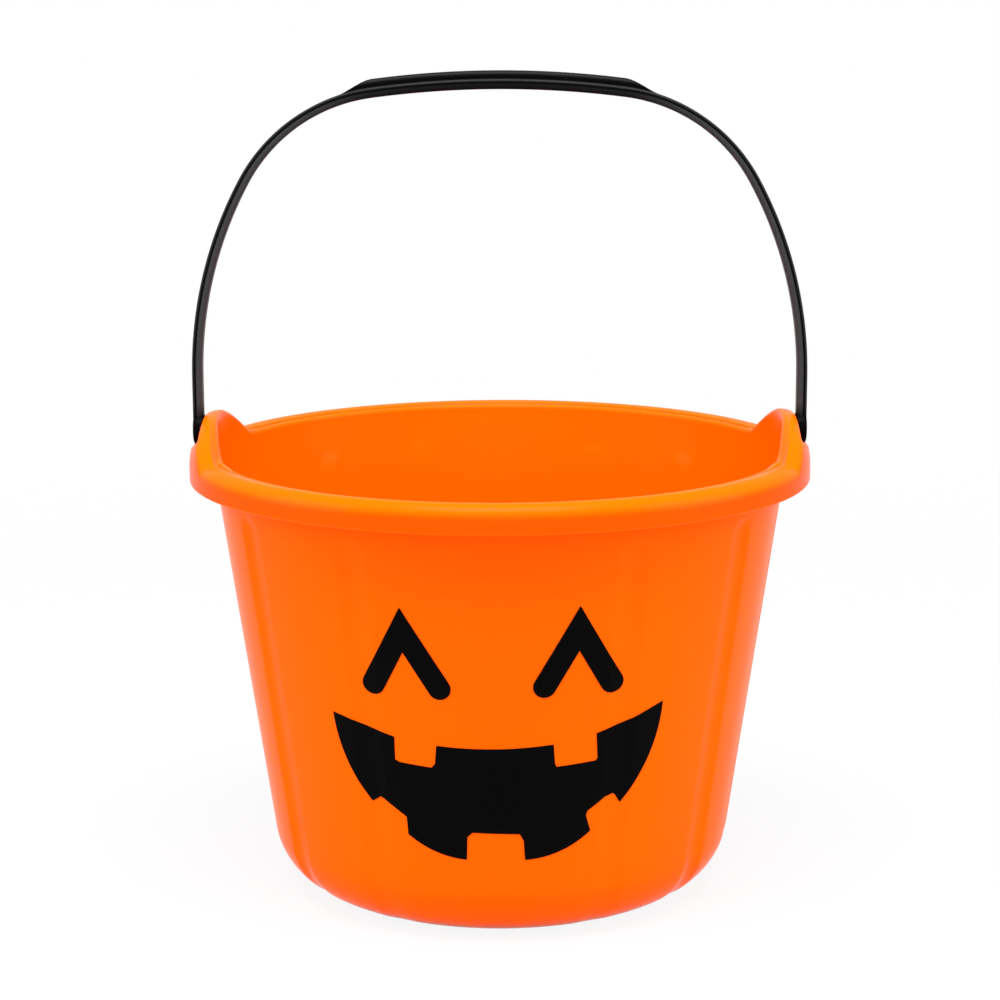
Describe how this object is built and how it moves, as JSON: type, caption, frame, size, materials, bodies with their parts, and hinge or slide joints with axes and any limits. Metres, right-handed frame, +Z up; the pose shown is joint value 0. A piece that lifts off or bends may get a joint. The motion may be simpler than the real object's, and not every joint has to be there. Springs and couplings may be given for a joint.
{
  "type": "pumpkin candy pail",
  "caption": "Round tapered treat pail with a fluted wall, a rolled rim, an arched ear at each side, a printed pumpkin face and a bail handle that swings.",
  "frame": {"origin": "middle of the base, on the plane that the pail stands on", "axes": "+Z up, -Y out of the printed face, +X to the viewer's right when the face looks at them; the handle's pivot runs along X"},
  "size_m": [0.22, 0.22, 0.2898],
  "materials": {
    "orange_plastic": "glossy moulded orange",
    "black_plastic": "glossy moulded black",
    "black_ink": "printed black, satin"
  },
  "bodies": {
    "pail": {"pail_body": "orange_plastic", "print_left_eye": "black_ink", "print_right_eye": "black_ink", "print_mouth": "black_ink"},
    "handle": {"handle": "black_plastic"}
  },
  "joints": [
    {"name": "handle_pivot", "type": "hinge", "parent": "pail", "child": "handle", "pos_m": [0, 0, 0.1642], "axis": [1, 0, 0], "range_deg": [-80, 80]}
  ]
}
